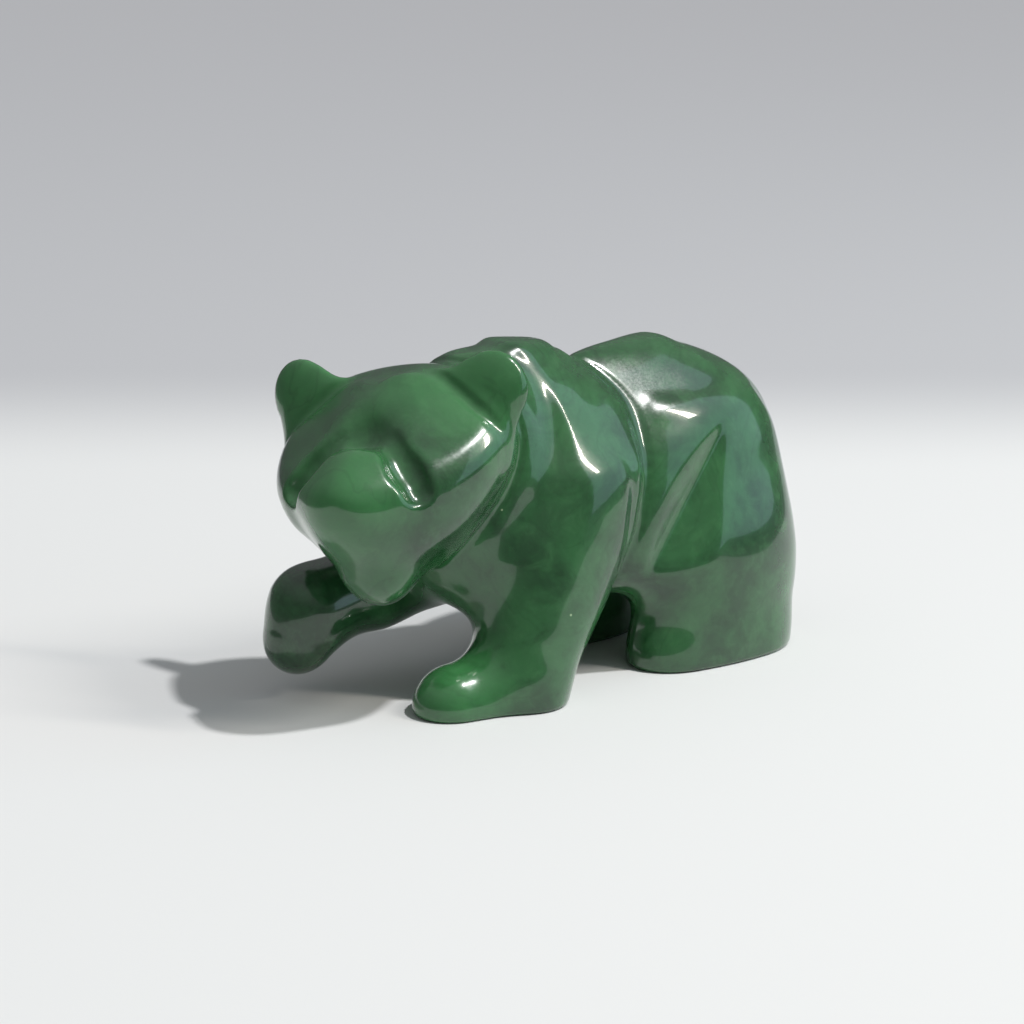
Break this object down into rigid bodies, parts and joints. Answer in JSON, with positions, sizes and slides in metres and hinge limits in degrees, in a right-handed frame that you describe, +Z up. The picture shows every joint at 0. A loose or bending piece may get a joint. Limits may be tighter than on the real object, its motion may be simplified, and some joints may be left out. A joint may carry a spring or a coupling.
{
  "type": "jade bear figurine",
  "caption": "Small polished green jade bear, walking with a lifted forepaw and turned head, carved from one solid stone, flat soles.",
  "frame": {"origin": "centre of the figurine's box, at the height of its soles", "axes": "+Y from the nose to the rump, +X to the bear's own left, +Z up"},
  "size_m": [0.049, 0.1054, 0.0627],
  "materials": {
    "jade": "polished"
  },
  "bodies": {
    "root": {"jade_bear": "jade"}
  },
  "joints": []
}
